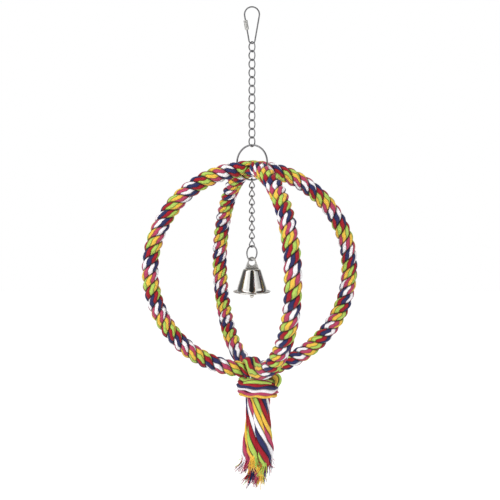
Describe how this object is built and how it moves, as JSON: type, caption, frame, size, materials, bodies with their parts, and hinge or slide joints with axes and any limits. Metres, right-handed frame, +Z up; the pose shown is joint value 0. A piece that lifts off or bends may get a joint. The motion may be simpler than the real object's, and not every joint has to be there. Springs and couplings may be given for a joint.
{
  "type": "bird swing",
  "caption": "Hanging bird swing: crossed round hoops of thick cotton rope, steel clip and twisted chain, a bell on a lower chain inside, rope knot and tassel below.",
  "frame": {"origin": "inside top of the clip's loop, where the swing hangs from a cage bar", "axes": "+Z up along the chain, +X to the right in the picture, -Y towards the viewer"},
  "size_m": [0.2472, 0.2349, 0.5472],
  "materials": {
    "polished_steel": "polished steel wire",
    "nickel_plate": "bright nickel plate",
    "core_wire": "plain drawn wire",
    "rope": "laid cotton rope in mixed lime, yellow, pink, white, navy and red yarns"
  },
  "bodies": {
    "clip": {"clip_wire": "polished_steel"},
    "sleeve": {"clip_sleeve": "polished_steel"},
    "upper_link_01": {"upper_link_01": "polished_steel"},
    "upper_link_02": {"upper_link_02": "polished_steel"},
    "upper_link_03": {"upper_link_03": "polished_steel"},
    "upper_link_04": {"upper_link_04": "polished_steel"},
    "upper_link_05": {"upper_link_05": "polished_steel"},
    "upper_link_06": {"upper_link_06": "polished_steel"},
    "upper_link_07": {"upper_link_07": "polished_steel"},
    "upper_link_08": {"upper_link_08": "polished_steel"},
    "upper_link_09": {"upper_link_09": "polished_steel"},
    "upper_link_10": {"upper_link_10": "polished_steel"},
    "upper_link_11": {"upper_link_11": "polished_steel"},
    "upper_link_12": {"upper_link_12": "polished_steel"},
    "hoops": {"crossing_ring": "polished_steel", "hoop_a_rope": "rope", "hoop_a_core": "core_wire", "hoop_b_rope": "rope", "hoop_b_core": "core_wire", "knot_core": "rope", "knot_wrap": "rope", "tassel_end_1": "rope", "tassel_end_2": "rope", "tassel_end_3": "rope", "tassel_end_4": "rope"},
    "lower_link_01": {"lower_link_01": "polished_steel"},
    "lower_link_02": {"lower_link_02": "polished_steel"},
    "lower_link_03": {"lower_link_03": "polished_steel"},
    "lower_link_04": {"lower_link_04": "polished_steel"},
    "lower_link_05": {"lower_link_05": "polished_steel"},
    "lower_link_06": {"lower_link_06": "polished_steel"},
    "lower_link_07": {"lower_link_07": "polished_steel"},
    "lower_link_08": {"lower_link_08": "polished_steel"},
    "bell_ring": {"bell_ring": "nickel_plate"},
    "bell": {"bell_cup": "nickel_plate", "bell_tab": "nickel_plate"},
    "clapper": {"clapper_rod": "nickel_plate", "clapper_ball": "nickel_plate"}
  },
  "joints": [
    {"name": "sleeve_slide", "type": "slide", "parent": "clip", "child": "sleeve", "axis": [0.1748, 0, -0.9846], "range_m": [0, 0.008]},
    {"name": "upper_link_01_swing", "type": "hinge", "parent": "clip", "child": "upper_link_01", "pos_m": [0, 0, -0.0375], "axis": [0.7071, -0.7071, 0], "range_deg": [-15, 15]},
    {"name": "upper_link_02_swing", "type": "hinge", "parent": "upper_link_01", "child": "upper_link_02", "pos_m": [0, 0, -0.0486], "axis": [0.7071, 0.7071, 0], "range_deg": [-35, 35]},
    {"name": "upper_link_03_swing", "type": "hinge", "parent": "upper_link_02", "child": "upper_link_03", "pos_m": [0, 0, -0.0567], "axis": [0.7071, -0.7071, 0], "range_deg": [-35, 35]},
    {"name": "upper_link_04_swing", "type": "hinge", "parent": "upper_link_03", "child": "upper_link_04", "pos_m": [0, 0, -0.0678], "axis": [-0.7071, -0.7071, 0], "range_deg": [-35, 35]},
    {"name": "upper_link_05_swing", "type": "hinge", "parent": "upper_link_04", "child": "upper_link_05", "pos_m": [0, 0, -0.0759], "axis": [-0.7071, 0.7071, 0], "range_deg": [-35, 35]},
    {"name": "upper_link_06_swing", "type": "hinge", "parent": "upper_link_05", "child": "upper_link_06", "pos_m": [0, 0, -0.087], "axis": [0.7071, 0.7071, 0], "range_deg": [-35, 35]},
    {"name": "upper_link_07_swing", "type": "hinge", "parent": "upper_link_06", "child": "upper_link_07", "pos_m": [0, 0, -0.0951], "axis": [0.7071, -0.7071, 0], "range_deg": [-35, 35]},
    {"name": "upper_link_08_swing", "type": "hinge", "parent": "upper_link_07", "child": "upper_link_08", "pos_m": [0, 0, -0.1062], "axis": [-0.7071, -0.7071, 0], "range_deg": [-35, 35]},
    {"name": "upper_link_09_swing", "type": "hinge", "parent": "upper_link_08", "child": "upper_link_09", "pos_m": [0, 0, -0.1143], "axis": [-0.7071, 0.7071, 0], "range_deg": [-35, 35]},
    {"name": "upper_link_10_swing", "type": "hinge", "parent": "upper_link_09", "child": "upper_link_10", "pos_m": [0, 0, -0.1254], "axis": [0.7071, 0.7071, 0], "range_deg": [-35, 35]},
    {"name": "upper_link_11_swing", "type": "hinge", "parent": "upper_link_10", "child": "upper_link_11", "pos_m": [0, 0, -0.1335], "axis": [0.7071, -0.7071, 0], "range_deg": [-35, 35]},
    {"name": "upper_link_12_swing", "type": "hinge", "parent": "upper_link_11", "child": "upper_link_12", "pos_m": [0, 0, -0.1446], "axis": [-0.7071, -0.7071, 0], "range_deg": [-35, 35]},
    {"name": "hoops_turn", "type": "hinge", "parent": "upper_link_12", "child": "hoops", "pos_m": [0, 0, -0.1524], "axis": [0, 0, 1], "range_deg": [-25, 25]},
    {"name": "lower_link_01_swing", "type": "hinge", "parent": "hoops", "child": "lower_link_01", "pos_m": [0, 0, -0.1918], "axis": [0.866, -0.5, 0], "range_deg": [-25, 25]},
    {"name": "lower_link_02_swing", "type": "hinge", "parent": "lower_link_01", "child": "lower_link_02", "pos_m": [0, 0, -0.2011], "axis": [0.9659, -0.2588, 0], "range_deg": [-35, 35]},
    {"name": "lower_link_03_swing", "type": "hinge", "parent": "lower_link_02", "child": "lower_link_03", "pos_m": [0, 0, -0.2092], "axis": [0.2588, 0.9659, 0], "range_deg": [-35, 35]},
    {"name": "lower_link_04_swing", "type": "hinge", "parent": "lower_link_03", "child": "lower_link_04", "pos_m": [0, 0, -0.2203], "axis": [-0.9659, 0.2588, 0], "range_deg": [-35, 35]},
    {"name": "lower_link_05_swing", "type": "hinge", "parent": "lower_link_04", "child": "lower_link_05", "pos_m": [0, 0, -0.2284], "axis": [-0.2588, -0.9659, 0], "range_deg": [-35, 35]},
    {"name": "lower_link_06_swing", "type": "hinge", "parent": "lower_link_05", "child": "lower_link_06", "pos_m": [0, 0, -0.2395], "axis": [0.9659, -0.2588, 0], "range_deg": [-35, 35]},
    {"name": "lower_link_07_swing", "type": "hinge", "parent": "lower_link_06", "child": "lower_link_07", "pos_m": [0, 0, -0.2476], "axis": [0.2588, 0.9659, 0], "range_deg": [-35, 35]},
    {"name": "lower_link_08_swing", "type": "hinge", "parent": "lower_link_07", "child": "lower_link_08", "pos_m": [0, 0, -0.2587], "axis": [-0.9659, 0.2588, 0], "range_deg": [-35, 35]},
    {"name": "bell_ring_swing", "type": "hinge", "parent": "lower_link_08", "child": "bell_ring", "pos_m": [0, 0, -0.2683], "axis": [0.9659, -0.2588, 0], "range_deg": [-30, 30]},
    {"name": "bell_swing", "type": "hinge", "parent": "bell_ring", "child": "bell", "pos_m": [0, 0, -0.2835], "axis": [-0.682, -0.7314, 0], "range_deg": [-30, 30]},
    {"name": "clapper_swing", "type": "hinge", "parent": "bell", "child": "clapper", "pos_m": [0, 0, -0.29655], "axis": [0, 1, 0], "range_deg": [-32, 32]}
  ]
}
